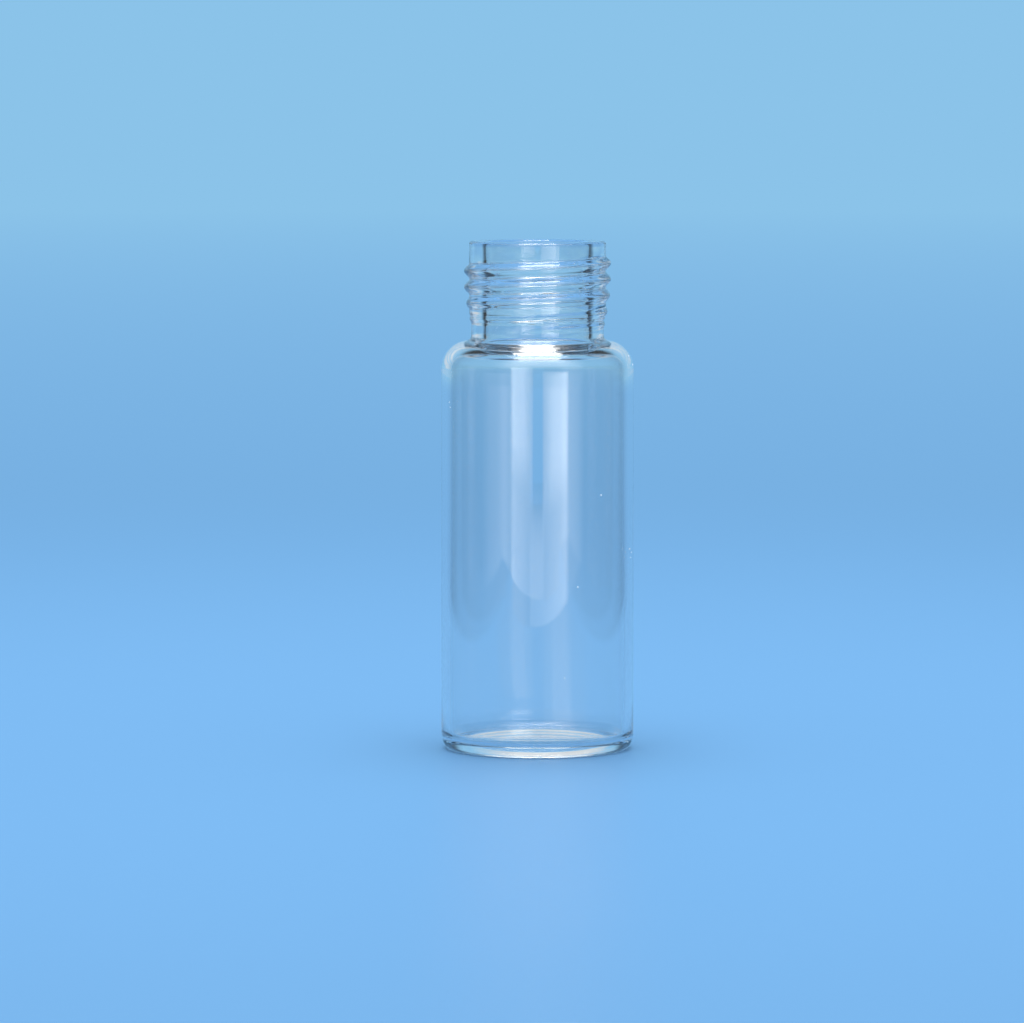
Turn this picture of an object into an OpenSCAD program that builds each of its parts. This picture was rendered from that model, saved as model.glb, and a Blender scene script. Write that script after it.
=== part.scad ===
// Clear glass sample vial, formed from one tube: a round body on a closed base, a curved
// shoulder and an open neck with a coarse rounded thread. Millimetres, +Z up, with the
// origin at the centre of the ring that it stands on.

/* [Body] */
// Outer diameter of the body
body_d = 12; // [11.6:0.1:12.4]
// Height from the standing ring to the rim
height = 31.7; // [31:0.1:34]
// Thickness of the body's wall
wall = 0.62; // [0.5:0.02:0.9]

/* [Base] */
// Thickness of the glass under the cavity, beside the wall
floor_t = 0.65; // [0.5:0.05:1]
// How far the heel's curve reaches in from the wall, to the standing ring
heel_w = 0.6; // [0.3:0.05:1]
// Height at which the heel's curve ends in the wall
heel_h = 1; // [0.6:0.05:1.4]
// Radius of the corner between the wall and the cavity's floor
floor_corner_r = 0.6; // [0.2:0.05:1]
// Width of the flat ring that the vial stands on
stand_w = 0.4; // [0.2:0.05:0.6]
// Rise of the base's centre above the standing ring
push_up = 0.26; // [0.1:0.02:0.4]
// Rise of the cavity's floor at its centre
floor_crown = 0.4; // [0.1:0.05:0.5]

/* [Shoulder] */
// Height at which the body's straight side ends
side_h = 23.75; // [15:0.25:24.5]
// Outer radius of the shoulder's curve
shoulder_r = 1.75; // [1.6:0.05:1.9]
// Radius of the hollow between the shoulder and the neck
neck_fillet_r = 0.35; // [0.3:0.05:0.8]
// Radius of the rounded edge under the bore, inside the shoulder
throat_r = 1; // [0.7:0.05:1.2]

/* [Neck] */
// Diameter of the plain neck below the thread
neck_d = 8.26; // [8.1:0.02:8.4]
// Diameter of the neck at the rim and between the thread's turns
land_d = 8.52; // [8.5:0.02:8.7]
// Diameter of the bore through the neck
bore_d = 6.4; // [6:0.1:6.6]
// Radius of the fire-polished edges of the rim
rim_r = 0.18; // [0.1:0.02:0.3]

/* [Thread] */
// Diameter over the thread's crest
thread_d = 9.16; // [9:0.02:9.3]
// Rise of the thread in one turn
pitch = 1; // [0.95:0.01:1.05]
// Depth of the thread's first crest below the rim
thread_drop = 1.25; // [1:0.05:1.5]
// Width of the ridge at its foot
ridge_w = 0.9; // [0.7:0.05:0.92]
// Direction in which the thread starts, seen from above
start_angle = 40; // [0:5:355]
// Turns from the start of the thread to the end of its run-out
total_turns = 4.4; // [4.2:0.1:4.6]
// Turns that stand at the full height
full_turns = 1.75; // [1.5:0.05:2]
// Turns from the start to the point where only a trace of the ridge is left
fade_turns = 3.4; // [3:0.1:3.5]
// Height of that trace
trace_h = 0.06; // [0.04:0.01:0.1]

/* [Hidden] */

glass_colour = [0.82, 0.91, 0.97, 0.45];

body_r = body_d / 2;
neck_r = neck_d / 2;
land_r = land_d / 2;
bore_r = bore_d / 2;
cavity_r = body_r - wall;

// Steps along a curve of the profile, round a revolve and round a turn of the thread.
arc_steps = 8;
revolve_steps = 96;
turn_steps = 40;
ridge_steps = 6;

// The shoulder's curve and the hollow above it are two circles that touch: the first also
// touches the body's side, and the second touches the neck.
shoulder_x = body_r - shoulder_r;
fillet_x = neck_r + neck_fillet_r;
fillet_z = side_h + touch_rise(shoulder_r + neck_fillet_r, fillet_x - shoulder_x);
shoulder_end = atan2(fillet_z - side_h, fillet_x - shoulder_x);

// Inside, the cavity's curve and the rounded throat under the bore touch in the same way.
cavity_shoulder_r = shoulder_r - wall;
throat_x = bore_r + throat_r;
throat_z = side_h + touch_rise(cavity_shoulder_r + throat_r, throat_x - shoulder_x);
throat_end = atan2(throat_z - side_h, throat_x - shoulder_x);

// The neck narrows below the last strong turn of the thread.
step_z = height - thread_drop - 3.2 * pitch;
step_h = 0.5;

// The base stands on a flat ring between the heel's curve, which is higher than it is wide, and the shallow hollow.
ring_r = body_r - heel_w;
hollow_edge_r = ring_r - stand_w;
hollow_r = bowl_radius(hollow_edge_r, push_up);
crown_edge_r = cavity_r - floor_corner_r;
crown_r = bowl_radius(crown_edge_r, floor_crown);

// Height of the centre of a circle over another that it touches, from the sum of their radii
// and the sideways distance between their centres.
function touch_rise(radius_sum, sideways) = sqrt(radius_sum ^ 2 - sideways ^ 2);

// Radius of a shallow bowl that is as wide as its edge radius and as deep as its rise.
function bowl_radius(edge_r, rise) = (edge_r ^ 2 + rise ^ 2) / (2 * rise);

// Points along an arc of a circle at [x, z] in the profile.
function arc(x, z, r, from, to, steps = arc_steps) =
    [for (i = [0 : steps]) let (a = from + (to - from) * i / steps) [x + r * cos(a), z + r * sin(a)]];

// Points of a shallow dome from its edge to just beside its top on the axis.
function dome(edge_r, edge_z, r) =
    let (half = asin(edge_r / r))
    [for (i = [0 : arc_steps - 1]) let (a = half * (1 - i / arc_steps))
        [r * sin(a), edge_z + r * (cos(a) - cos(half))]];

function outer_side() = concat(
    [for (p = arc(0, 0, 1, -90, 0)) [ring_r + heel_w * p[0], heel_h + heel_h * p[1]]],
    arc(shoulder_x, side_h, shoulder_r, 0, shoulder_end),
    arc(fillet_x, fillet_z, neck_fillet_r, shoulder_end + 180, 180),
    [[neck_r, step_z - step_h], [land_r, step_z]],
    arc(land_r - rim_r, height - rim_r, rim_r, 0, 90)
);

function inner_side() = concat(
    arc(bore_r + rim_r, height - rim_r, rim_r, 90, 180),
    arc(throat_x, throat_z, throat_r, 180, throat_end + 180),
    arc(shoulder_x, side_h, cavity_shoulder_r, throat_end, 0),
    arc(crown_edge_r, floor_t + floor_corner_r, floor_corner_r, 0, -90)
);

function base_middle() = concat(
    dome(crown_edge_r, floor_t, crown_r),
    [[0, floor_t + floor_crown], [0, push_up]],
    [for (i = [arc_steps - 1 : -1 : 0]) dome(hollow_edge_r, 0, hollow_r)[i]]
);

// Place of the thread's crest, counted in turns down from its start.
function crest_angle(turn) = start_angle - 360 * turn;

function crest_z(turn) = height - thread_drop - pitch * (min(turn, fade_turns) + 0.75 * max(0, turn - fade_turns));

// Radius of the plain neck at a height.
function root_r(z) = let (s = min(1, max(0, (z - step_z + step_h) / step_h))) neck_r + (land_r - neck_r) * s;

// Height of the ridge: it rises at the start, fades to a trace and ends in the neck.
function ridge_h(turn) =
    let (full = thread_d / 2 - land_r, lead = 0.12, sunk = 0.04)
    turn < lead ? full * turn / lead - sunk * (1 - turn / lead)
    : turn < full_turns ? full
    : turn < fade_turns ? full + (trace_h - full) * (turn - full_turns) / (fade_turns - full_turns)
    : turn < total_turns - lead ? trace_h
    : trace_h - (trace_h + sunk) * (turn - total_turns + lead) / lead;

// One section of the ridge, as [radius, height] points from its lower foot to its upper one.
function ridge_section(turn) =
    let (
        z = crest_z(turn),
        foot = root_r(z) - 0.05,
        rise = ridge_h(turn) + 0.05,
        half_w = ridge_w / 2 * (0.4 + 0.6 * min(1, max(0, rise / 0.3)))
    )
    concat(
        [[foot - 0.2, z - half_w]],
        [for (i = [0 : ridge_steps]) let (u = 2 * i / ridge_steps - 1) [foot + rise * cos(90 * u), z + half_w * u]],
        [[foot - 0.2, z + half_w]]
    );

module thread() {
    rings = ceil(total_turns * turn_steps);
    sides = ridge_steps + 3;
    points = [
        for (i = [0 : rings])
            let (turn = total_turns * i / rings, a = crest_angle(turn))
            for (p = ridge_section(turn)) [p[0] * cos(a), p[0] * sin(a), p[1]]
    ];
    flanks = [
        for (i = [0 : rings - 1], k = [0 : sides - 1])
            let (a = i * sides + k, b = i * sides + (k + 1) % sides)
            for (f = [[a, b + sides, b], [a, a + sides, b + sides]]) f
    ];
    start_cap = [for (k = [0 : sides - 1]) k];
    end_cap = [for (k = [sides - 1 : -1 : 0]) rings * sides + k];
    polyhedron(points, concat(flanks, [start_cap, end_cap]), convexity = 10);
}

module vial() {
    color(glass_colour) {
        rotate_extrude($fn = revolve_steps) polygon(concat(outer_side(), inner_side(), base_middle()));
        thread();
    }
}

vial();
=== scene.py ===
import math
from itertools import pairwise

import bmesh
import bpy
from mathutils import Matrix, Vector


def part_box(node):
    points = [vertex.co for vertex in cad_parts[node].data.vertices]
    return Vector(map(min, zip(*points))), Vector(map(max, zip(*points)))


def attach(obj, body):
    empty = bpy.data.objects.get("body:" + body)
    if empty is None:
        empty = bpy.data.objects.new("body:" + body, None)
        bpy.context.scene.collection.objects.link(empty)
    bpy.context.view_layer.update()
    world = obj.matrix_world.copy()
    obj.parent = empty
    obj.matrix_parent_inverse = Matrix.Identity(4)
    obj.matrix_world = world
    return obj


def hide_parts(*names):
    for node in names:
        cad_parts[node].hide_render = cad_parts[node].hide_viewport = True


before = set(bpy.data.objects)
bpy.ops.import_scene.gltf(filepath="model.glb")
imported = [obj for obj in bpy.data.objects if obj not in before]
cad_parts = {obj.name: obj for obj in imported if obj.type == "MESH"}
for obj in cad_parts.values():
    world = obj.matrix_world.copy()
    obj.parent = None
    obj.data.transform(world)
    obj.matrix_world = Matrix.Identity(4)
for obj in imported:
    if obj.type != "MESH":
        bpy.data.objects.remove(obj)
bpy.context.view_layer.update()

bl_info = {
    "name": "Glass sample vial",
    "version": (1, 0, 0),
    "blender": (4, 5, 0),
    "location": "3D View > Sidebar > Vial",
    "description": "Builds a clear glass sample vial with a screw thread, and a stage to see it on",
    "category": "Object",
}

MM = 0.001

CAD_LOW, CAD_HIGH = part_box("vial")
CAD_DIAMETER = CAD_HIGH.x - CAD_LOW.x
CAD_HEIGHT = CAD_HIGH.z - CAD_LOW.z


# ---------------------------------------------------------------- shared helpers


def linear(hex_colour):
    """Linear RGBA of an sRGB colour such as '#8BBBE6'."""
    values = [int(hex_colour[i : i + 2], 16) / 255 for i in (1, 3, 5)]
    return [v / 12.92 if v <= 0.04045 else ((v + 0.055) / 1.055) ** 2.4 for v in values] + [1.0]


def add_node(tree, kind, inputs=None, **settings):
    """Adds a node, sets its settings, and fills its inputs with values or other nodes' outputs."""
    made = tree.nodes.new(kind)
    for key, value in settings.items():
        setattr(made, key, value)
    for key, value in (inputs or {}).items():
        if isinstance(value, bpy.types.NodeSocket):
            tree.links.new(value, made.inputs[key])
        else:
            made.inputs[key].default_value = value
    return made


# Kinds of node that are added in steps, each with the setting that a step chooses.
MATHS = ("ShaderNodeMath", "operation")
RANGES = ("ShaderNodeMapRange", "interpolation_type")


def add_steps(tree, known, kind, steps):
    """Adds a node for each step (name, choice, values...), and its result to what is known.

    The values fill the node's inputs in order, as numbers or as names of what is known."""
    node, setting = kind
    for name, choice, *values in steps:
        inputs = {i: known[v] if isinstance(v, str) else v for i, v in enumerate(values)}
        made = add_node(tree, node, inputs, label=name, **{setting: choice})
        known[name] = made.outputs[0]


def new_material(name):
    """A material with an empty node tree, and its output node."""
    material = bpy.data.materials.new(name)
    material.use_nodes = True
    material.node_tree.nodes.clear()
    output = add_node(material.node_tree, "ShaderNodeOutputMaterial")
    return material, material.node_tree, output


def new_geometry_tree(name, sockets):
    """A Geometry Nodes tree with these (name, kind) inputs, and the sockets that they arrive on."""
    tree = bpy.data.node_groups.new(name, "GeometryNodeTree")
    tree.interface.new_socket(name="Geometry", in_out="OUTPUT", socket_type="NodeSocketGeometry")
    for socket, kind in sockets:
        tree.interface.new_socket(name=socket, in_out="INPUT", socket_type="NodeSocket" + kind)
    return tree, add_node(tree, "NodeGroupInput").outputs


def finish_geometry_tree(tree, geometry, material):
    """The end of every Geometry Nodes tree: real geometry with its material."""
    real = add_node(tree, "GeometryNodeRealizeInstances", {"Geometry": geometry}).outputs[0]
    finished = add_node(
        tree, "GeometryNodeSetMaterial", {"Geometry": real, "Material": material}).outputs[0]
    add_node(tree, "NodeGroupOutput", {0: finished})


def link_object(name, data):
    made = bpy.data.objects.new(name, data)
    bpy.context.scene.collection.objects.link(made)
    return made


def shape_by_nodes(obj, tree, values):
    """Runs Geometry Nodes on an object, and leaves what they make as its plain mesh."""
    nodes = obj.modifiers.new(tree.name, "NODES")
    nodes.node_group = tree
    inputs = [item for item in tree.interface.items_tree if item.in_out == "INPUT"]
    identifiers = {item.name: item.identifier for item in inputs}
    for name, value in values.items():
        nodes[identifiers[name]] = value
    evaluated = obj.evaluated_get(bpy.context.evaluated_depsgraph_get())
    mesh = bpy.data.meshes.new_from_object(evaluated)
    obj.modifiers.clear()
    obj.data = mesh
    mesh.name = obj.name


# ---------------------------------------------------------------- sizes and colours


def length(name, description, millimetres):
    return bpy.props.FloatProperty(
        name=name, description=description, default=millimetres * MM,
        min=0, unit="LENGTH", precision=5,
    )


def colour(name, description, hex_colour):
    return bpy.props.FloatVectorProperty(
        name=name, description=description, default=linear(hex_colour),
        min=0, max=1, size=4, subtype="COLOR",
    )


class VialSizes(bpy.types.PropertyGroup):
    """Sizes of the glass."""

    body_diameter: length("Body diameter", "Outer diameter of the body", CAD_DIAMETER / MM)
    height: length("Height", "Height from the standing ring to the rim", CAD_HEIGHT / MM)
    wall: length("Wall", "Thickness of the body's wall", 0.62)
    floor: length("Floor", "Thickness of the glass under the cavity, beside the wall", 0.65)
    heel_width: length("Heel width", "How far the heel's curve reaches in from the wall", 0.6)
    heel_height: length("Heel height", "Height at which the heel's curve ends in the wall", 1.0)
    corner_radius: length("Corner radius", "Radius between the wall and the cavity's floor", 0.6)
    standing_ring: length("Standing ring", "Width of the flat ring that the vial stands on", 0.4)
    push_up: length("Push-up", "Rise of the base's centre above the standing ring", 0.26)
    floor_crown: length("Floor crown", "Rise of the cavity's floor at its centre", 0.4)
    side_height: length("Side height", "Height at which the body's straight side ends", 23.75)
    shoulder_radius: length("Shoulder radius", "Outer radius of the shoulder's curve", 1.75)
    fillet_radius: length("Fillet radius", "Radius of the hollow between shoulder and neck", 0.35)
    throat_radius: length("Throat radius", "Radius of the rounded edge under the bore", 1.0)
    neck_diameter: length("Neck diameter", "Diameter of the plain neck below the thread", 8.26)
    land_diameter: length("Land diameter", "Diameter of the neck between the thread's turns", 8.52)
    bore_diameter: length("Bore diameter", "Diameter of the bore through the neck", 6.4)
    rim_radius: length("Rim radius", "Radius of the rim's fire-polished edges", 0.18)
    segments: bpy.props.IntProperty(
        name="Segments", description="Faces round the vial", default=320, min=24, max=512
    )


class ThreadSizes(bpy.types.PropertyGroup):
    """Sizes of the screw thread on the neck."""

    crest_diameter: length("Crest diameter", "Diameter over the thread's crest", 9.16)
    pitch: length("Pitch", "Rise of the thread in one turn", 1.0)
    drop: length("Drop", "Depth of the thread's first crest below the rim", 1.25)
    ridge_width: length("Ridge width", "Width of the ridge at its foot", 0.9)
    trace: length("Trace", "Height of the ridge's faint last part", 0.06)
    unevenness: length("Unevenness", "Waviness that rolling the hot neck leaves", 0.02)
    start_angle: bpy.props.FloatProperty(
        name="Start angle", description="Where the thread starts, seen from above",
        default=math.radians(40), unit="ROTATION",
    )
    full_turns: bpy.props.FloatProperty(
        name="Full turns", description="Turns at full height", default=1.75, min=0)
    fade_turns: bpy.props.FloatProperty(
        name="Fade turns", description="Turns down to the trace", default=3.4, min=0)
    total_turns: bpy.props.FloatProperty(
        name="Total turns", description="Turns to the run-out's end", default=4.4, min=0)


class StageColours(bpy.types.PropertyGroup):
    """Colours of the stage."""

    floor: colour("Floor", "Colour of the floor", "#7BB9F2")
    far_floor: colour("Far floor", "Colour where the floor starts to rise", "#76AFE2")
    backdrop: colour("Backdrop", "Colour behind the vial", "#8BC3E9")
    # The room is a painted dark reflection, which only the glass shows.
    room: colour("Room", "Dim room that the glass mirrors", "#2B2926")


# ---------------------------------------------------------------- the glass

# The neck narrows below the last strong turn of the thread: where, in turns, and over what height.
STEP_TURNS = 3.2
STEP_RISE = 0.5 * MM
# Rows of points on the outside of the neck, close enough to show the ridge's round section.
NECK_ROWS = 104


def arc(x, z, radius, start, end, steps, height=None):
    """Points on a circle round (x, z), from one angle to another in degrees.

    With a height it is an ellipse."""
    angles = [math.radians(start + (end - start) * i / steps) for i in range(steps + 1)]
    return [(x + radius * math.cos(a), z + (height or radius) * math.sin(a)) for a in angles]


def line(start, end, steps):
    """Points between two points, without the two themselves."""
    return [tuple(a + (b - a) * i / steps for a, b in zip(start, end)) for i in range(1, steps)]


def dome(edge_radius, edge_z, rise, steps):
    """Points of a shallow dome from the axis out to its edge."""
    radius = (edge_radius**2 + rise**2) / (2 * rise)
    half = math.asin(edge_radius / radius)
    angles = [half * i / steps for i in range(steps + 1)]
    return [(radius * math.sin(a), edge_z + radius * (math.cos(a) - math.cos(half)))
            for a in angles]


def touching_z(z, radii, sideways):
    """Height of the centre of a circle above another at z that it touches, and the angle in degrees
    at which they touch, from the sum of their radii and the sideways distance of their centres."""
    top = z + math.sqrt(radii**2 - sideways**2)
    return top, math.degrees(math.atan2(top - z, sideways))


def neck_step(size, thread):
    """Heights between which the neck widens from its plain part to the land under the thread."""
    top = size.height - thread.drop - STEP_TURNS * thread.pitch
    return top - STEP_RISE, top


def vial_profile(size, thread):
    """Section of the glass as (radius, height, part) points, from the axis under the base, up the
    outside and down the inside, to the axis in the cavity."""
    body, neck, land, bore = (
        diameter / 2 for diameter in (
            size.body_diameter, size.neck_diameter, size.land_diameter, size.bore_diameter))
    cavity = body - size.wall
    side_z = size.side_height
    shoulder_x = body - size.shoulder_radius
    fillet_x = neck + size.fillet_radius
    fillet_z, shoulder_end = touching_z(
        side_z, size.shoulder_radius + size.fillet_radius, fillet_x - shoulder_x)
    inner_shoulder = size.shoulder_radius - size.wall
    throat_x = bore + size.throat_radius
    throat_z, throat_end = touching_z(
        side_z, inner_shoulder + size.throat_radius, throat_x - shoulder_x)
    ring = body - size.heel_width
    corner_x = cavity - size.corner_radius
    corner_z = size.floor + size.corner_radius
    rim_z = size.height - size.rim_radius
    step_low, step_high = neck_step(size, thread)

    def neck_point(row):
        z = fillet_z + (rim_z - fillet_z) * row / NECK_ROWS
        widened = min(1, max(0, (z - step_low) / (step_high - step_low)))
        return neck + (land - neck) * widened, z

    # Each curve is cut into its own number of steps, more where its shape shows.
    parts = [
        ("base", dome(ring - size.standing_ring, 0, size.push_up, 8)),
        ("base", arc(ring, size.heel_height, size.heel_width, -90, 0, 16, size.heel_height)),
        ("side", line((body, size.heel_height), (body, side_z), 12)),
        ("shoulder", arc(shoulder_x, side_z, size.shoulder_radius, 0, shoulder_end, 20)),
        ("shoulder", arc(fillet_x, fillet_z, size.fillet_radius, shoulder_end + 180, 180, 8)[1:]),
        ("neck", [neck_point(row) for row in range(1, NECK_ROWS)]),
        ("rim", arc(land - size.rim_radius, rim_z, size.rim_radius, 0, 90, 6)),
        ("rim", arc(bore + size.rim_radius, rim_z, size.rim_radius, 90, 180, 6)),
        ("bore", line((bore, rim_z), (bore, throat_z), 30)),
        ("throat", arc(throat_x, throat_z, size.throat_radius, 180, throat_end + 180, 10)),
        ("throat", arc(shoulder_x, side_z, inner_shoulder, throat_end, 0, 10)[1:]),
        ("cavity", line((cavity, side_z), (cavity, corner_z), 14)),
        ("cavity", arc(corner_x, corner_z, size.corner_radius, 0, -90, 8)),
        ("cavity", dome(corner_x, size.floor, size.floor_crown, 8)[-2::-1]),
    ]
    return [(x, z, part) for part, points in parts for x, z in points]


def profile_object(size, thread):
    """A mesh of points in a row that holds the section, with X as the radius and Z as the height.

    Two attributes say which points are the neck's, outside and inside."""
    points = vial_profile(size, thread)
    mesh = bpy.data.meshes.new("glass_vial")
    edges = [(i, i + 1) for i in range(len(points) - 1)]
    mesh.from_pydata([(x, 0, z) for x, z, _ in points], edges, [])
    for attribute, part in (("outside_neck", "neck"), ("inside_neck", "bore")):
        values = mesh.attributes.new(attribute, "FLOAT", "POINT")
        values.data.foreach_set("value", [float(p == part) for _, _, p in points])
    return link_object("glass_vial", mesh)


GLASS_INPUTS = [
    ("Geometry", "Geometry"), ("Segments", "Int"), ("Pitch", "Float"), ("First Crest", "Float"),
    ("Ridge Height", "Float"), ("Ridge Width", "Float"), ("Trace", "Float"),
    ("Start Turn", "Float"), ("Full Turns", "Float"), ("Fade Turns", "Float"),
    ("Total Turns", "Float"), ("Neck Radius", "Float"), ("Land Radius", "Float"),
    ("Step Low", "Float"), ("Step High", "Float"), ("Unevenness", "Float"), ("Seed", "Float"),
    ("Glass", "Material"),
]
# Past its fading part the thread is less steep: its turns lie this share of a pitch apart.
RUN_OUT_PITCH = 0.75
# At both ends the ridge comes out of the neck from this depth, over this part of a turn.
END_DEPTH = 0.04 * MM
END_TURNS = 0.12
# The ridge's foot lies this deep in the neck. A ridge lower than the full-width height is
# narrower, down to the least share of its width.
FOOT_DEPTH = 0.05 * MM
FULL_WIDTH_HEIGHT = 0.3 * MM
LEAST_WIDTH = 0.4
# How softly the ridge meets the neck, and the share of the ridge's height that the bore follows.
RIDGE_BLEND = 0.045 * MM
BORE_SHARE = 0.06
# Waves in a metre of the neck's unevenness: they are about as long as the ridge is wide.
UNEVEN_SCALE = 900.0
# Points closer than this are one point, which closes the seam and the two poles.
MERGE_DISTANCE = 1e-7


def lay_out_section(tree, section, known):
    """A grid with a column of points for each direction round the axis, and in each column a row
    for each point of the section.

    What is known gains each point's angle, radius and height, and whether it is the neck's."""
    rows = add_node(
        tree, "GeometryNodeAttributeDomainSize", {"Geometry": section}).outputs["Point Count"]
    known["rows"] = rows
    known["index"] = add_node(tree, "GeometryNodeInputIndex").outputs[0]
    add_steps(tree, known, MATHS, [
        ("columns", "ADD", "Segments", 1),
        ("column", "DIVIDE", "index", "rows"),
        ("column", "FLOOR", "column"),
        ("row", "MULTIPLY", "column", "rows"),
        ("row", "SUBTRACT", "index", "row"),
        ("column turn", "DIVIDE", "column", "Segments"),
        ("angle", "MULTIPLY", "column turn", math.tau),
        ("cos", "COSINE", "angle"),
        ("sin", "SINE", "angle"),
    ])
    outside, inside = (
        add_node(tree, "GeometryNodeInputNamedAttribute", {"Name": name}, data_type="FLOAT")
        for name in ("outside_neck", "inside_neck"))
    for name, kind, source in (
        ("place", "FLOAT_VECTOR", add_node(tree, "GeometryNodeInputPosition")),
        ("outside", "FLOAT", outside),
        ("inside", "FLOAT", inside),
    ):
        sample = {"Geometry": section, "Value": source.outputs[0], "Index": known["row"]}
        known[name] = add_node(
            tree, "GeometryNodeSampleIndex", sample, data_type=kind).outputs[0]
    parts = add_node(tree, "ShaderNodeSeparateXYZ", {0: known["place"]}).outputs
    known["radius"], known["z"] = parts["X"], parts["Z"]
    return add_node(
        tree, "GeometryNodeMeshGrid", {"Vertices X": known["columns"], "Vertices Y": rows}
    ).outputs["Mesh"]


def find_nearest_turn(tree, known):
    """Finds the turn of the thread whose crest is nearest to each point, and that crest's height.

    Turns are counted down from the thread's start."""
    add_steps(tree, known, MATHS, [
        ("part turn", "SUBTRACT", "Start Turn", "column turn"),
        ("part turn", "FRACT", "part turn"),
        ("depth", "SUBTRACT", "First Crest", "z"),
        ("depth", "DIVIDE", "depth", "Pitch"),
        ("depth past", "SUBTRACT", "depth", "Fade Turns"),
        ("depth past", "MAXIMUM", "depth past", 0),
        ("depth extra", "MULTIPLY", "depth past", 1 / RUN_OUT_PITCH - 1),
        ("turn here", "ADD", "depth", "depth extra"),
        ("whole turns", "SUBTRACT", "turn here", "part turn"),
        ("whole turns", "ROUND", "whole turns"),
        ("turn", "ADD", "part turn", "whole turns"),
        ("turn past", "SUBTRACT", "turn", "Fade Turns"),
        ("turn past", "MAXIMUM", "turn past", 0),
        ("turn back", "MULTIPLY", "turn past", 1 - RUN_OUT_PITCH),
        ("turn depth", "SUBTRACT", "turn", "turn back"),
        ("crest drop", "MULTIPLY", "turn depth", "Pitch"),
        ("crest z", "SUBTRACT", "First Crest", "crest drop"),
        ("turns left", "SUBTRACT", "Total Turns", "turn"),
    ])


def raise_ridge(tree, known):
    """Adds the ridge to the neck's radius outside, and a little of it inside."""
    # The ridge rises at its start, fades to a trace and ends sunk in the neck.
    add_steps(tree, known, RANGES, [
        ("faded height", "LINEAR", "turn", "Full Turns", "Fade Turns", "Ridge Height", "Trace"),
        ("begun height", "LINEAR", "turn", 0, END_TURNS, -END_DEPTH, "faded height"),
        ("ridge height", "LINEAR", "turns left", 0, END_TURNS, -END_DEPTH, "begun height"),
        ("root", "LINEAR", "crest z", "Step Low", "Step High", "Neck Radius", "Land Radius"),
    ])
    add_steps(tree, known, MATHS, [
        ("rise", "ADD", "ridge height", FOOT_DEPTH),
        ("narrowing", "DIVIDE", "rise", FULL_WIDTH_HEIGHT),
        ("narrowing", "MAXIMUM", "narrowing", 0),
        ("narrowing", "MINIMUM", "narrowing", 1),
        ("narrowing", "MULTIPLY_ADD", "narrowing", 1 - LEAST_WIDTH, LEAST_WIDTH),
        ("half width", "MULTIPLY", "Ridge Width", 0.5),
        ("half width", "MULTIPLY", "half width", "narrowing"),
        ("off crest", "SUBTRACT", "z", "crest z"),
        ("off crest", "DIVIDE", "off crest", "half width"),
        ("off crest", "MAXIMUM", "off crest", -1),
        ("off crest", "MINIMUM", "off crest", 1),
        ("quarter wave", "MULTIPLY", "off crest", math.pi / 2),
        ("wave", "COSINE", "quarter wave"),
        ("ridge", "MULTIPLY", "wave", "rise"),
        ("foot", "SUBTRACT", "root", FOOT_DEPTH),
        ("ridge radius", "ADD", "ridge", "foot"),
        ("threaded radius", "SMOOTH_MAX", "radius", "ridge radius", RIDGE_BLEND),
        ("raised by", "SUBTRACT", "threaded radius", "radius"),
        ("raised by", "MULTIPLY", "raised by", "outside"),
        # The bore follows the ridge, because both sides were soft when the thread was rolled.
        ("pressed by", "SUBTRACT", "ridge radius", "root"),
        ("pressed by", "MAXIMUM", "pressed by", 0),
        ("pressed by", "MULTIPLY", "pressed by", BORE_SHARE),
        ("pressed by", "MULTIPLY", "pressed by", "inside"),
        ("shaped radius", "ADD", "radius", "raised by"),
        ("shaped radius", "ADD", "shaped radius", "pressed by"),
    ])


def place_points(tree, known):
    """Turns angles, radii and heights into places, with the slight unevenness of a rolled neck."""
    add_steps(tree, known, MATHS, [
        ("even x", "MULTIPLY", "cos", "shaped radius"),
        ("even y", "MULTIPLY", "sin", "shaped radius"),
    ])
    even = add_node(
        tree, "ShaderNodeCombineXYZ", {0: known["even x"], 1: known["even y"], 2: known["z"]})
    waves = {
        "Vector": even.outputs[0], "W": known["Seed"],
        "Scale": UNEVEN_SCALE, "Detail": 1.5, "Roughness": 0.45,
    }
    known["noise"] = add_node(
        tree, "ShaderNodeTexNoise", waves, noise_dimensions="4D").outputs["Fac"]
    add_steps(tree, known, MATHS, [
        ("neck part", "ADD", "outside", "inside"),
        ("waviness", "SUBTRACT", "noise", 0.5),
        ("waviness", "MULTIPLY", "waviness", "Unevenness"),
        ("waviness", "MULTIPLY", "waviness", "neck part"),
        ("final radius", "ADD", "shaped radius", "waviness"),
        ("x", "MULTIPLY", "cos", "final radius"),
        ("y", "MULTIPLY", "sin", "final radius"),
    ])
    return add_node(
        tree, "ShaderNodeCombineXYZ", {0: known["x"], 1: known["y"], 2: known["z"]}).outputs[0]


def revolve_and_thread_tree():
    """Geometry Nodes that turn a section round the Z axis and raise a helical ridge on the neck."""
    tree, given = new_geometry_tree("revolved_glass_with_thread", GLASS_INPUTS)
    known = {name: given[name] for name, kind in GLASS_INPUTS if kind in ("Float", "Int")}
    grid = lay_out_section(tree, given["Geometry"], known)
    find_nearest_turn(tree, known)
    raise_ridge(tree, known)
    placed = add_node(tree, "GeometryNodeSetPosition", {
        "Geometry": grid, "Position": place_points(tree, known)}).outputs[0]
    closed = add_node(tree, "GeometryNodeMergeByDistance", {
        "Geometry": placed, "Distance": MERGE_DISTANCE}).outputs[0]
    smooth = add_node(tree, "GeometryNodeSetShadeSmooth", {"Geometry": closed}).outputs[0]
    finish_geometry_tree(tree, smooth, given["Glass"])
    return tree


# The draw lines of the tube: how far apart they are round it, and how slowly each changes along it.
DRAW_LINE_SPACING = 0.5 * MM
DRAW_LINE_SHRINK = 0.03


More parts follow.
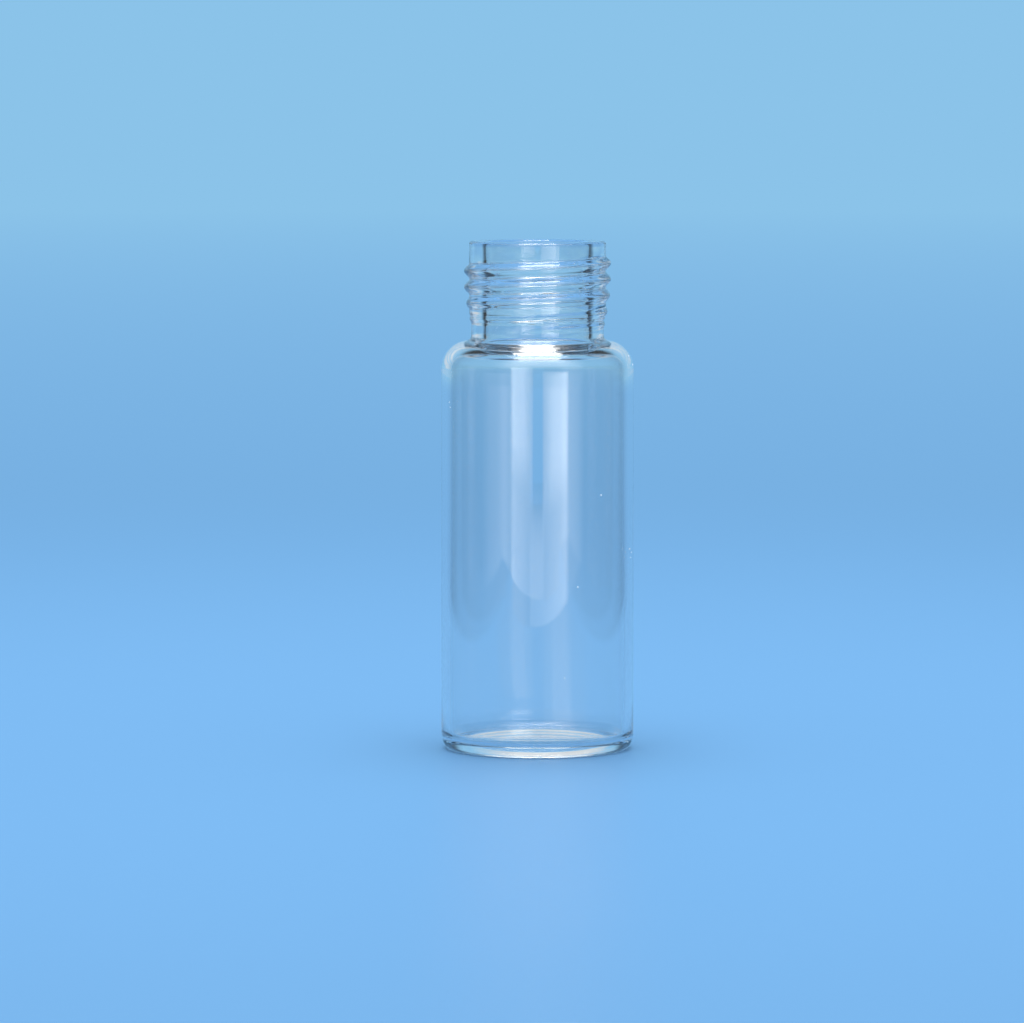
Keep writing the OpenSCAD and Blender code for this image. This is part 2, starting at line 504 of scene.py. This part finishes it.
def glass_material():
    """Borosilicate glass, drawn as a tube and fire-polished: colourless and perfectly smooth, with
    faint lines along the draw that make what it mirrors waver a little."""
    material, tree, output = new_material("clear_borosilicate_glass")
    place = add_node(tree, "ShaderNodeTexCoord").outputs["Object"]
    stretched = add_node(tree, "ShaderNodeMapping", {
        "Vector": place, "Scale": (1.0, 1.0, DRAW_LINE_SHRINK)}).outputs[0]
    lines = add_node(tree, "ShaderNodeTexNoise", {
        "Vector": stretched, "Scale": 1 / DRAW_LINE_SPACING, "Detail": 2.0, "Roughness": 0.5,
    }).outputs["Fac"]
    bump = add_node(tree, "ShaderNodeBump", {
        "Height": lines, "Strength": 0.05, "Distance": 0.02 * MM}).outputs[0]
    glass = add_node(tree, "ShaderNodeBsdfPrincipled", {
        "Base Color": linear("#FFFFFF"), "Roughness": 0.0, "IOR": 1.473,
        "Transmission Weight": 1.0, "Normal": bump,
    })
    tree.links.new(glass.outputs[0], output.inputs["Surface"])
    return material


def check_closed(vial):
    """Stops the script if the glass isn't one closed solid whose faces point outwards."""
    check = bmesh.new()
    check.from_mesh(vial.data)
    open_edges = [edge for edge in check.edges if len(edge.link_faces) != 2]
    volume = check.calc_volume(signed=True) / MM**3
    check.free()
    if open_edges or volume <= 0:
        raise RuntimeError(
            f"the glass isn't closed: {len(open_edges)} open edges, {volume:.1f} mm3")
    print(f"glass: {len(vial.data.polygons)} faces, {volume:.1f} mm3")


class VIAL_OT_build_glass(bpy.types.Operator):
    """Build the glass body, its base, shoulder, neck and thread in one piece"""

    bl_idname = "vial.build_glass"
    bl_label = "Build the glass"

    def execute(self, context):
        size, thread = context.scene.vial_sizes, context.scene.vial_thread
        vial = profile_object(size, thread)
        step_low, step_high = neck_step(size, thread)
        shape_by_nodes(vial, revolve_and_thread_tree(), {
            "Segments": size.segments,
            "Pitch": thread.pitch,
            "First Crest": size.height - thread.drop,
            "Ridge Height": (thread.crest_diameter - size.land_diameter) / 2,
            "Ridge Width": thread.ridge_width,
            "Trace": thread.trace,
            "Start Turn": thread.start_angle / math.tau,
            "Full Turns": thread.full_turns,
            "Fade Turns": thread.fade_turns,
            "Total Turns": thread.total_turns,
            "Neck Radius": size.neck_diameter / 2,
            "Land Radius": size.land_diameter / 2,
            "Step Low": step_low,
            "Step High": step_high,
            "Unevenness": thread.unevenness,
            "Seed": 3.0,
            "Glass": glass_material(),
        })
        check_closed(vial)
        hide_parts("vial")
        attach(vial, "root")
        return {"FINISHED"}


# ---------------------------------------------------------------- the specks

# Where specks of lint cling to the outside: the direction in degrees from the front, then the
# height and the size in millimetres.
SPECKS = [
    (-65.3, 21.8, 0.10), (-64.2, 21.5, 0.07), (-55.6, 21.9, 0.08), (40.5, 16.2, 0.11),
    (71.8, 12.65, 0.09), (76.3, 12.4, 0.10), (74.0, 12.1, 0.07), (24.2, 10.6, 0.10),
    (16.0, 5.0, 0.08), (80.5, 24.05, 0.10), (78.0, 24.6, 0.08),
]
# The least and the greatest share of its size that a grain measures along its three axes.
GRAIN_SHARES = ((0.6, 0.6, 0.6), (1.3, 1.0, 1.0))
LINT_FOLDS = 0.04 * MM


def speck_tree():
    """Geometry Nodes that set an uneven grain on each point, as large as the point's own size."""
    tree, given = new_geometry_tree(
        "grains_on_points", [("Geometry", "Geometry"), ("Seed", "Int"), ("Lint", "Material")])
    grain = add_node(
        tree, "GeometryNodeMeshIcoSphere", {"Radius": 0.5, "Subdivisions": 2}).outputs["Mesh"]
    turn, shape = (
        add_node(tree, "FunctionNodeRandomValue", {
            "Min": least, "Max": most, "Seed": given["Seed"]}, data_type="FLOAT_VECTOR",
        ).outputs["Value"]
        for least, most in (((0.0, 0.0, 0.0), (math.tau,) * 3), GRAIN_SHARES))
    size = add_node(
        tree, "GeometryNodeInputNamedAttribute", {"Name": "size"}, data_type="FLOAT"
    ).outputs["Attribute"]
    scale = add_node(
        tree, "ShaderNodeVectorMath", {0: shape, "Scale": size}, operation="SCALE"
    ).outputs["Vector"]
    placed = add_node(tree, "GeometryNodeInstanceOnPoints", {
        "Points": given["Geometry"], "Instance": grain, "Rotation": turn, "Scale": scale,
    }).outputs["Instances"]
    finish_geometry_tree(tree, placed, given["Lint"])
    return tree


def lint_material():
    """Lint and dust: matt off-white fibre, a little darker in its folds. It has a painted glow: it
    gives off a little light though it is no lamp, so it stands out from the glass."""
    material, tree, output = new_material("off_white_lint")
    place = add_node(tree, "ShaderNodeTexCoord").outputs["Object"]
    folds = add_node(tree, "ShaderNodeTexNoise", {
        "Vector": place, "Scale": 1 / LINT_FOLDS, "Detail": 2.0}).outputs["Fac"]
    shades = add_node(tree, "ShaderNodeMix", {
        0: folds, 6: linear("#D5DBE0"), 7: linear("#F7F8F9")}, data_type="RGBA").outputs[2]
    fibre = add_node(tree, "ShaderNodeBsdfPrincipled", {
        "Base Color": shades, "Roughness": 0.9, "Specular IOR Level": 0.2,
        # Painted glow: the lint gives off a little light of its own, though it is no lamp.
        "Emission Color": linear("#CFE6FF"), "Emission Strength": 0.45,
    })
    tree.links.new(fibre.outputs[0], output.inputs["Surface"])
    return material


class VIAL_OT_build_specks(bpy.types.Operator):
    """Set a few specks of lint on the outside of the glass"""

    bl_idname = "vial.build_specks"
    bl_label = "Build the specks"

    def execute(self, context):
        size = context.scene.vial_sizes
        shoulder_x = size.body_diameter / 2 - size.shoulder_radius
        points = []
        for degrees, z, _ in SPECKS:
            above = max(0, z * MM - size.side_height)
            radius = shoulder_x + math.sqrt(size.shoulder_radius**2 - above**2)
            angle = math.radians(degrees)
            points.append((radius * math.sin(angle), -radius * math.cos(angle), z * MM))
        mesh = bpy.data.meshes.new("lint_specks")
        mesh.from_pydata(points, [], [])
        sizes = mesh.attributes.new("size", "FLOAT", "POINT")
        sizes.data.foreach_set("value", [across * MM for _, _, across in SPECKS])
        specks = link_object("lint_specks", mesh)
        shape_by_nodes(specks, speck_tree(), {"Seed": 5, "Lint": lint_material()})
        if not specks.data.polygons:
            raise RuntimeError("the specks have no faces")
        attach(specks, "root")
        return {"FINISHED"}


# ---------------------------------------------------------------- the stage

# The glass mirrors a lit floor and backdrop behind the vial, and round the rest a dim room, a
# painted dark reflection that only the glass shows. They pass into each other between these
# directions, as cosines of the angle from straight back. The floor goes on to this far beside the
# vial, and a little of it still shows beyond.
FLOOR_ENDS = (0.588, 0.766)
FLOOR_SIDE = (72 * MM, 80 * MM)
FLOOR_END_COVER = 0.78
# The lamps light the floor near the vial. It turns evenly lit between the first two distances from
# the vial, in metres, and takes the backdrop's colour between the next two. A trace of the card
# that the lamps light stays everywhere, because an edge would show in the glass as a line.
EVEN_FROM, EVEN_TO, EVEN_MOST = 0.03, 0.25, 0.999
COLOUR_FROM, COLOUR_TO = 0.15, 1.3
# Painted light: through the glass, the floor under the vial is painted nearly as light as the rest,
# in place of its shadow: out to the first distance, and no longer at the second.
PAINTED_LIGHT_FROM, PAINTED_LIGHT_TO, PAINTED_LIGHT_MOST = 6 * MM, 11 * MM, 0.8
CARD_GRAIN = 0.4 * MM
FLOOR_RINGS, FLOOR_SEGMENTS = (0.05, 0.2, 0.5, 1.7), 64


def mirrored_by_glass(tree):
    """Two values that are 1 where a ray has been mirrored by smooth glass, and 0 for the camera,
    the lamps and the floor's own sheen.

    The first counts only what comes straight from the glass, and the second also what the floor's
    sheen adds to it."""
    path = add_node(tree, "ShaderNodeLightPath").outputs
    known = {"depth": path["Glossy Depth"], "singular": path["Is Singular Ray"]}
    # A depth is a whole number, so it is compared with halves.
    add_steps(tree, known, MATHS, [
        ("once", "GREATER_THAN", "depth", 0.5),
        ("straight", "MULTIPLY", "once", "singular"),
        ("twice", "GREATER_THAN", "depth", 1.5),
        ("mirrored", "MAXIMUM", "straight", "twice"),
    ])
    return known["straight"], known["mirrored"]


def floor_material(colours):
    """Satin card: matt and finely grained, with a weak sheen at low angles."""
    material, tree, output = new_material("satin_card_floor")
    place = add_node(tree, "ShaderNodeTexCoord").outputs["Object"]
    parts = add_node(tree, "ShaderNodeSeparateXYZ", {0: place}).outputs
    away = add_node(tree, "ShaderNodeVectorMath", {0: place}, operation="LENGTH").outputs["Value"]
    path = add_node(tree, "ShaderNodeLightPath").outputs
    _, mirrored = mirrored_by_glass(tree)
    known = {
        "x": parts["X"], "y": parts["Y"], "away": away,
        "mirrored": mirrored, "crossed": path["Transmission Depth"],
    }
    add_steps(tree, known, MATHS, [("side", "ABSOLUTE", "x"), ("back", "DIVIDE", "y", "away")])
    add_steps(tree, known, RANGES, [
        ("risen", "LINEAR", "away", COLOUR_FROM, COLOUR_TO),
        ("even", "SMOOTHSTEP", "away", EVEN_FROM, EVEN_TO, 0, EVEN_MOST),
        ("clear of vial", "SMOOTHSTEP", "away", PAINTED_LIGHT_FROM, PAINTED_LIGHT_TO),
        ("beside", "SMOOTHSTEP", "side", *FLOOR_SIDE),
        ("behind", "SMOOTHSTEP", "back", *FLOOR_ENDS),
    ])
    add_steps(tree, known, MATHS, [
        ("in glass", "GREATER_THAN", "crossed", 0.5),
        ("in glass", "MAXIMUM", "in glass", "mirrored"),
        # Painted light: the floor under the vial, seen through the glass, takes the evenly lit
        # colour.
        ("under", "SUBTRACT", 1, "clear of vial"),
        ("under", "MULTIPLY", "under", PAINTED_LIGHT_MOST),
        ("under", "MULTIPLY", "under", "in glass"),
        ("even", "MAXIMUM", "even", "under"),
        # Painted dark reflection: beside the vial, the glass shows the dim room in place of the
        # floor.
        ("room", "SUBTRACT", 1, "behind"),
        ("room", "MULTIPLY", "room", "beside"),
        ("room", "MULTIPLY", "room", "mirrored"),
        ("room", "MULTIPLY", "room", FLOOR_END_COVER),
    ])
    grain = add_node(tree, "ShaderNodeTexNoise", {
        "Vector": place, "Scale": 1 / CARD_GRAIN, "Detail": 3.0}).outputs["Fac"]
    bump = add_node(tree, "ShaderNodeBump", {
        "Height": grain, "Strength": 0.1, "Distance": 0.05 * MM}).outputs[0]
    card = add_node(tree, "ShaderNodeBsdfPrincipled", {
        "Base Color": colours.floor, "Roughness": 0.4, "Specular IOR Level": 0.15, "Normal": bump,
    }).outputs[0]
    far_colour = add_node(tree, "ShaderNodeMix", {
        0: known["risen"], 6: colours.far_floor, 7: colours.backdrop}, data_type="RGBA").outputs[2]
    evenly_lit, room = (
        add_node(tree, "ShaderNodeEmission", {"Color": shade}).outputs[0]
        for shade in (far_colour, colours.room))
    floor = add_node(
        tree, "ShaderNodeMixShader", {0: known["even"], 1: card, 2: evenly_lit}).outputs[0]
    ended = add_node(
        tree, "ShaderNodeMixShader", {0: known["room"], 1: floor, 2: room}).outputs[0]
    tree.links.new(ended, output.inputs["Surface"])
    return material


def build_floor(colours):
    mesh = bmesh.new()
    centre = mesh.verts.new((0, 0, 0))
    turns = [math.tau * i / FLOOR_SEGMENTS for i in range(FLOOR_SEGMENTS)]
    rings = [[mesh.verts.new((reach * math.cos(turn), reach * math.sin(turn), 0)) for turn in turns]
             for reach in FLOOR_RINGS]
    for i in range(FLOOR_SEGMENTS):
        j = (i + 1) % FLOOR_SEGMENTS
        mesh.faces.new((centre, rings[0][i], rings[0][j]))
        for inner, outer in pairwise(rings):
            mesh.faces.new((inner[i], outer[i], outer[j], inner[j]))
    data = bpy.data.meshes.new("floor")
    mesh.to_mesh(data)
    mesh.free()
    data.materials.append(floor_material(colours))
    link_object("floor", data)


# The cards are painted reflections: light and dark sheets that only smooth glass mirrors, and
# that don't light the floor. Each has a glow, and a cover, which is its share of what shows.
# Directions are in degrees from the camera's side, seen from the vial, and places and heights are
# in millimetres.
#
# Upright cards round the front: (left, right, bottom, top, glow at the left, glow at the right).
# Two more glows, where given, are those at the foot, and the card passes softly between them.
ROOM_GLOW = 0.025
CARDS = [
    (-100, -66, 0, 90, ROOM_GLOW, ROOM_GLOW),
    (-66, -38, 3, 22, 0.3, 1.3),
    (-66, -38, 0, 3, 0.15, 0.3),
    (-38, -30, 3, 22, 1.0, 0.4),
    (-30, -9, 0, 22, 0.4, 0.1),
    (-9, 6, 0.2, 6, 0.7, 1.2),
    (-9, 6, 6, 9.5, 0.03, 0.1, 0.7, 1.2),
    (6, 18, 12, 22, 1.2, 3.8),
    (18, 36, 12, 22, 3.8, 4.8),
    (6, 18, 8.5, 12, 1.2, 3.8, 1.2, 1.84),
    (18, 36, 8.5, 12, 3.8, 4.8, 1.84, 2.8),
    (6, 36, 0.2, 8.5, 1.2, 2.8),
    (36, 54, 0, 22, 0.7, 0.3),
    (54, 100, 0, 90, ROOM_GLOW, ROOM_GLOW),
    (6, 36, 22, 34, 1.0, 3.2),
]
# Each is cut into pieces no wider than this, in degrees, so that it follows the line of cards.
CARD_STEP = 6
# How far that line stands off the vial: in front, on the left and on the right.
FRONT_OFF, LEFT_OFF, RIGHT_OFF = 88, 80, 120
# Above the cards, a broad soft wall of painted reflected light: (direction, share of the glow),
# (height, glow).
WALL_SPREAD = [(-64, 0.05), (-44, 0.5), (-34, 1.0), (36, 1.0), (56, 0.4), (64, 0.05)]
WALL_RISE = [(60, 0.2), (75, 1.6), (110, 3.0), (160, 3.8), (200, 5.0), (300, 10.0)]
# Over the vial, the painted reflection of the soft box: (place along Y, half width, glow). It is
# narrow behind.
OVERHEAD = [
    (-88, 100, 14.0), (-20, 92, 14.0), (0, 80, 6.0), (12, 50, 1.8), (30, 36, 1.3),
    (100, 28, 0.9), (170, 20, 0.3), (300, 30, 0.1),
]
OVERHEAD_HEIGHT = 300
# On the floor in front, a painted sheen that carries the cards' streaks down to the foot of the
# glass, from this far off the vial to the foot of the cards: (direction, glow). It thins out where
# its glow is low, and what is left of it is no dimmer than the least.
SHEEN = [
    (-60, 0.0), (-45, 0.3), (-25, 0.2), (0, 0.3), (8, 0.7), (18, 1.1), (32, 1.2), (40, 0.6),
    (60, 0.0),
]
SHEEN_NEAR, SHEEN_HEIGHT = 14, 0.3
SHEEN_LEAST, SHEEN_FADE = 0.3, 0.8
# Far behind, three low bars of painted reflected light that the thick glass of the base mirrors
# as lines, and that its surface doesn't: (place across, cover), and (bottom, top, glow) of each.
# They stand so far off that the walls of the body and the neck mirror what lies below them.
BAR_COVER = [(-680, 0.0), (-480, 0.35), (-290, 0.8), (115, 0.8), (290, 0.3), (450, 0.0)]
BARS = [(33, 99, 0.8), (124, 156, 0.9), (188, 256, 0.9)]
BARS_OFF = 700


def card_place(degrees):
    """Where the line of cards stands, in a direction seen from the vial."""
    across, ahead = math.sin(math.radians(degrees)), math.cos(math.radians(degrees))
    beside = RIGHT_OFF if across > 0 else LEFT_OFF
    reach = min(beside / max(abs(across), 1e-6), FRONT_OFF / max(ahead, 1e-6))
    return reach * across * MM, -reach * ahead * MM


def sheen_place(degrees):
    """Where the floor's sheen begins, in a direction seen from the vial."""
    angle = math.radians(degrees)
    return SHEEN_NEAR * math.sin(angle) * MM, -SHEEN_NEAR * math.cos(angle) * MM


def bar_place(across):
    return across * MM, BARS_OFF * MM


def upright(place, left, right, low, high):
    """Corners of an upright card, from its lower left one round."""
    corners = ((left, low), (right, low), (right, high), (left, high))
    return [(*place(across), z * MM) for across, z in corners]


def card_pieces():
    """The four corners of each piece of card, the glow and the cover at each, and 1 if only light
    inside the glass meets it."""
    whole = [1, 1, 1, 1]
    for left, right, bottom, top, *glows in CARDS:
        steps = math.ceil((right - left) / CARD_STEP)
        for shares in pairwise(i / steps for i in range(steps + 1)):
            here, there = (left + (right - left) * share for share in shares)
            foot, head = (
                [a + (b - a) * share for share in shares] for a, b in (glows[-2:], glows[:2]))
            corners = upright(card_place, here, there, bottom, top)
            yield corners, [*foot, *reversed(head)], whole, 0
    for (left, left_share), (right, right_share) in pairwise(WALL_SPREAD):
        for (low, low_glow), (high, high_glow) in pairwise(WALL_RISE):
            glows = [left_share * low_glow, right_share * low_glow,
                     right_share * high_glow, left_share * high_glow]
            yield upright(card_place, left, right, low, high), glows, whole, 0
    for (left, left_glow), (right, right_glow) in pairwise(SHEEN):
        places = sheen_place(left), sheen_place(right), card_place(right), card_place(left)
        glows = [left_glow, right_glow, right_glow * SHEEN_FADE, left_glow * SHEEN_FADE]
        covers = [min(1, glow) for glow in (left_glow, right_glow, right_glow, left_glow)]
        yield ([(x, y, SHEEN_HEIGHT * MM) for x, y in places],
               [max(glow, SHEEN_LEAST) for glow in glows], covers, 0)
    for bottom, top, glow in BARS:
        for (left, left_cover), (right, right_cover) in pairwise(BAR_COVER):
            covers = [left_cover, right_cover, right_cover, left_cover]
            yield upright(bar_place, left, right, bottom, top), [glow] * 4, covers, 1
    for (front, front_half, front_glow), (back, back_half, back_glow) in pairwise(OVERHEAD):
        corners = [(-front_half, front), (front_half, front), (back_half, back), (-back_half, back)]
        yield ([(x * MM, y * MM, OVERHEAD_HEIGHT * MM) for x, y in corners],
               [front_glow, front_glow, back_glow, back_glow], whole, 0)


CARD_ATTRIBUTES = ("glow", "cover", "inside only")


def card_material():
    """Painted reflections: warm white light or near black, as bright as the card's own glow, and
    clear to all but what smooth glass mirrors."""
    material, tree, output = new_material("studio_reflection_card")
    known = {
        name: add_node(
            tree, "ShaderNodeAttribute", attribute_name=name, attribute_type="GEOMETRY"
        ).outputs["Fac"]
        for name in CARD_ATTRIBUTES
    }
    known["straight"], _ = mirrored_by_glass(tree)
    known["crossed"] = add_node(tree, "ShaderNodeLightPath").outputs["Transmission Depth"]
    add_steps(tree, known, MATHS, [
        ("met", "GREATER_THAN", "crossed", 0.5),
        ("open", "SUBTRACT", 1, "inside only"),
        ("met", "MAXIMUM", "met", "open"),
        ("met", "MULTIPLY", "met", "straight"),
        ("shown", "MULTIPLY", "met", "cover"),
    ])
    white = add_node(tree, "ShaderNodeEmission", {
        "Color": linear("#FFFDF8"), "Strength": known["glow"]}).outputs[0]
    clear = add_node(tree, "ShaderNodeBsdfTransparent").outputs[0]
    card = add_node(
        tree, "ShaderNodeMixShader", {0: known["shown"], 1: clear, 2: white}).outputs[0]
    tree.links.new(card, output.inputs["Surface"])
    material.cycles.emission_sampling = "NONE"
    return material


def build_cards():
    mesh = bmesh.new()
    layers = [mesh.verts.layers.float.new(name) for name in CARD_ATTRIBUTES]
    for corners, glows, covers, inside_only in card_pieces():
        piece = []
        for corner, *values in zip(corners, glows, covers, [inside_only] * 4):
            vert = mesh.verts.new(corner)
            for layer, value in zip(layers, values):
                vert[layer] = value
            piece.append(vert)
        mesh.faces.new(piece)
    data = bpy.data.meshes.new("reflection_cards")
    mesh.to_mesh(data)
    mesh.free()
    data.materials.append(card_material())
    link_object("reflection_cards", data)


# Even light from all round, for the floor and the specks.
FILL_LIGHT = 0.6
# Seen in the glass, the backdrop passes into the dim room, a painted dark reflection, between
# these heights, as sines of the angle above level.
BACKDROP_ENDS = (0.4, 0.56)


def build_world(colours):
    """An even white light on the floor, the pale backdrop for the eye, and for what the glass
    shows also a dim room above and in front of the vial, a painted dark reflection."""
    world = bpy.data.worlds.new("studio")
    bpy.context.scene.world = world
    world.use_nodes = True
    tree = world.node_tree
    tree.nodes.clear()
    path = add_node(tree, "ShaderNodeLightPath").outputs
    known = {
        "camera": path["Is Camera Ray"], "glossy": path["Is Glossy Ray"],
        "through": path["Is Transmission Ray"], "scattered": path["Diffuse Depth"],
        "crossed": path["Transmission Depth"],
    }
    _, known["mirrored"] = mirrored_by_glass(tree)
    direction = add_node(tree, "ShaderNodeTexCoord").outputs["Generated"]
    parts = add_node(tree, "ShaderNodeSeparateXYZ", {0: direction}).outputs
    known["back"], known["up"] = parts["Y"], parts["Z"]
    add_steps(tree, known, RANGES, [
        ("behind", "SMOOTHSTEP", "back", *FLOOR_ENDS),
        ("high", "SMOOTHSTEP", "up", *BACKDROP_ENDS),
    ])
    add_steps(tree, known, MATHS, [
        ("seen", "MAXIMUM", "camera", "glossy"),
        ("seen", "MAXIMUM", "seen", "through"),
        ("scattered", "LESS_THAN", "scattered", 0.5),
        ("seen", "MULTIPLY", "seen", "scattered"),
        ("in glass", "GREATER_THAN", "crossed", 0.5),
        ("in glass", "MAXIMUM", "in glass", "mirrored"),
        ("in front", "SUBTRACT", 1, "behind"),
        ("in front", "MULTIPLY", "in front", "mirrored"),
        ("high", "MULTIPLY", "high", "in glass"),
        ("room", "MAXIMUM", "in front", "high"),
    ])
    backdrop, room, light = (
        add_node(tree, "ShaderNodeBackground", {"Color": shade, "Strength": strength}).outputs[0]
        for shade, strength in (
            (colours.backdrop, 1.0), (colours.room, 1.0), (linear("#FFFFFF"), FILL_LIGHT)))
    eye = add_node(tree, "ShaderNodeMixShader", {0: known["room"], 1: backdrop, 2: room}).outputs[0]
    both = add_node(tree, "ShaderNodeMixShader", {0: known["seen"], 1: light, 2: eye}).outputs[0]
    add_node(tree, "ShaderNodeOutputWorld", {"Surface": both})


# The lamp overhead, in metres and in watts for each square metre and steradian.
SOFTBOX_SIZE = (0.3, 0.5)
SOFTBOX_HEIGHT = 0.47
SOFTBOX_RADIANCE = 2.6


def build_lamp():
    """One large soft box overhead. What the glass mirrors of it is the overhead card, a painted
    reflection.
    """
    lamp = bpy.data.lights.new("overhead_softbox", "AREA")
    lamp.shape = "RECTANGLE"
    lamp.size, lamp.size_y = SOFTBOX_SIZE
    lamp.energy = SOFTBOX_RADIANCE * math.pi * lamp.size * lamp.size_y
    softbox = link_object("overhead_softbox", lamp)
    softbox.location = (0.0, 0.0, SOFTBOX_HEIGHT)
    softbox.visible_glossy = False


CAMERA_PLACE = (-1.585, -366, 43)
CAMERA_DOWN = 4.4
CAMERA_LENS = 207.0


def build_camera():
    camera = bpy.data.cameras.new("camera")
    camera.lens = CAMERA_LENS
    camera.sensor_width = 36.0
    camera.clip_start, camera.clip_end = 0.01, 10.0
    made = link_object("camera", camera)
    made.location = [along * MM for along in CAMERA_PLACE]
    made.rotation_euler = (math.radians(90 - CAMERA_DOWN), 0, 0)
    bpy.context.scene.camera = made


class VIAL_OT_build_stage(bpy.types.Operator):
    """Set up the floor, the light and the camera"""

    bl_idname = "vial.build_stage"
    bl_label = "Build the stage"

    def execute(self, context):
        scene = context.scene
        build_floor(scene.stage_colours)
        build_cards()
        build_world(scene.stage_colours)
        build_lamp()
        build_camera()
        scene.view_settings.view_transform = "Standard"
        # Light crosses the walls, the base and the thread many times before it leaves the glass.
        scene.cycles.max_bounces = 32
        scene.cycles.glossy_bounces = 24
        scene.cycles.transmission_bounces = 32
        return {"FINISHED"}


class VIAL_PT_panel(bpy.types.Panel):
    """Sizes, colours and the steps that build the vial"""

    bl_label = "Sample vial"
    bl_idname = "VIAL_PT_panel"
    bl_space_type = "VIEW_3D"
    bl_region_type = "UI"
    bl_category = "Vial"

    def draw(self, context):
        scene = context.scene
        for group in (scene.vial_sizes, scene.vial_thread, scene.stage_colours):
            box = self.layout.box()
            for key in group.__annotations__:
                box.prop(group, key)
        for operator in OPERATORS:
            self.layout.operator(operator.bl_idname)


OPERATORS = [VIAL_OT_build_glass, VIAL_OT_build_specks, VIAL_OT_build_stage]
CLASSES = [VialSizes, ThreadSizes, StageColours, *OPERATORS, VIAL_PT_panel]


def register():
    for cls in CLASSES:
        bpy.utils.register_class(cls)
    bpy.types.Scene.vial_sizes = bpy.props.PointerProperty(type=VialSizes)
    bpy.types.Scene.vial_thread = bpy.props.PointerProperty(type=ThreadSizes)
    bpy.types.Scene.stage_colours = bpy.props.PointerProperty(type=StageColours)


def unregister():
    for name in ("stage_colours", "vial_thread", "vial_sizes"):
        delattr(bpy.types.Scene, name)
    for cls in reversed(CLASSES):
        bpy.utils.unregister_class(cls)


def main():
    register()
    bpy.ops.vial.build_glass()
    bpy.ops.vial.build_specks()
    bpy.ops.vial.build_stage()


if __name__ == "__main__":
    main()
